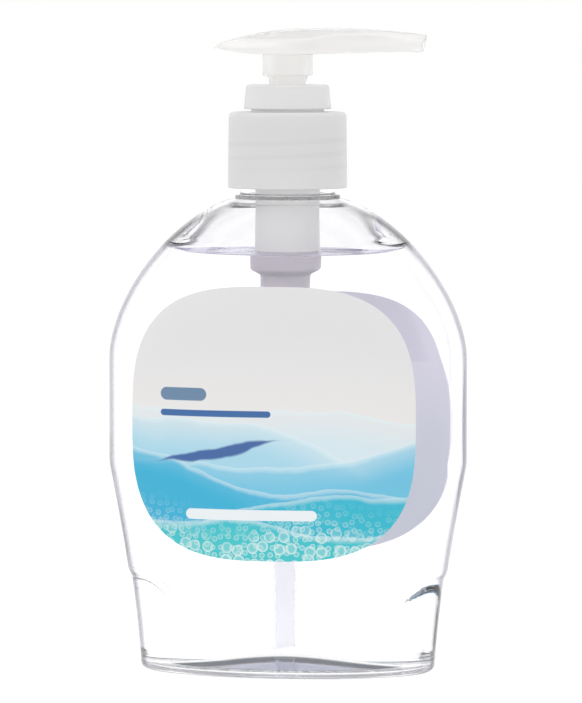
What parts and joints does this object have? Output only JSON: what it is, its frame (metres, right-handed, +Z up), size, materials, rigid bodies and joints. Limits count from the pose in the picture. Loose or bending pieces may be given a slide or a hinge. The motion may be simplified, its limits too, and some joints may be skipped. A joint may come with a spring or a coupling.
{
  "type": "hand soap pump bottle",
  "caption": "Flattened clear bottle of liquid hand soap with a translucent lotion pump, shown pressed down and locked.",
  "frame": {"origin": "middle of the bottle's base, on the surface it stands on", "axes": "+Z up along the pump's axis, +X towards the nozzle along the bottle's width, -Y out of the front label"},
  "size_m": [0.085, 0.043, 0.1514],
  "materials": {
    "clear_pet": "clear and glossy",
    "label_film": "printed film, satin",
    "label_back": "printed film, satin",
    "soap": "clear liquid with a lavender tint",
    "frosted_plastic": "translucent, softly matte",
    "head_plastic": "translucent, satin",
    "tube_plastic": "translucent natural",
    "seal_plastic": "natural",
    "gasket": "foamed, matte",
    "ball_steel": "ground",
    "spring_steel": "drawn wire"
  },
  "bodies": {
    "bottle_body": {"bottle": "clear_pet", "front_label": "label_film", "back_label": "label_back", "liquid_soap": "soap"},
    "pump_body": {"pump_housing": "frosted_plastic", "locking_collar": "frosted_plastic", "neck_gasket": "gasket", "dip_tube": "tube_plastic", "return_spring": "spring_steel"},
    "closure_body": {"closure": "frosted_plastic"},
    "plunger_body": {"piston_seal": "seal_plastic"},
    "head_body": {"pump_head": "head_plastic", "stem": "frosted_plastic"},
    "inlet_ball_body": {"inlet_ball": "ball_steel"},
    "outlet_ball_body": {"outlet_ball": "ball_steel"}
  },
  "joints": [
    {"name": "pump_lift", "type": "slide", "parent": "bottle_body", "child": "pump_body", "axis": [0, 0, 1], "range_m": [0, 0.13]},
    {"name": "closure_turn", "type": "hinge", "parent": "pump_body", "child": "closure_body", "pos_m": [0, 0, 0.123], "axis": [0, 0, 1], "range_deg": [0, 540]},
    {"name": "pump_stroke", "type": "slide", "parent": "pump_body", "child": "plunger_body", "axis": [0, 0, 1], "range_m": [0, 0.014], "deforming": ["return_spring"]},
    {"name": "head_turn", "type": "hinge", "parent": "plunger_body", "child": "head_body", "pos_m": [0, 0, 0.14], "axis": [0, 0, 1], "continuous": true},
    {"name": "inlet_ball_lift", "type": "slide", "parent": "pump_body", "child": "inlet_ball_body", "axis": [0, 0, 1], "range_m": [0, 0.0015]},
    {"name": "outlet_ball_lift", "type": "slide", "parent": "head_body", "child": "outlet_ball_body", "axis": [0, 0, 1], "range_m": [0, 0.0015]}
  ]
}
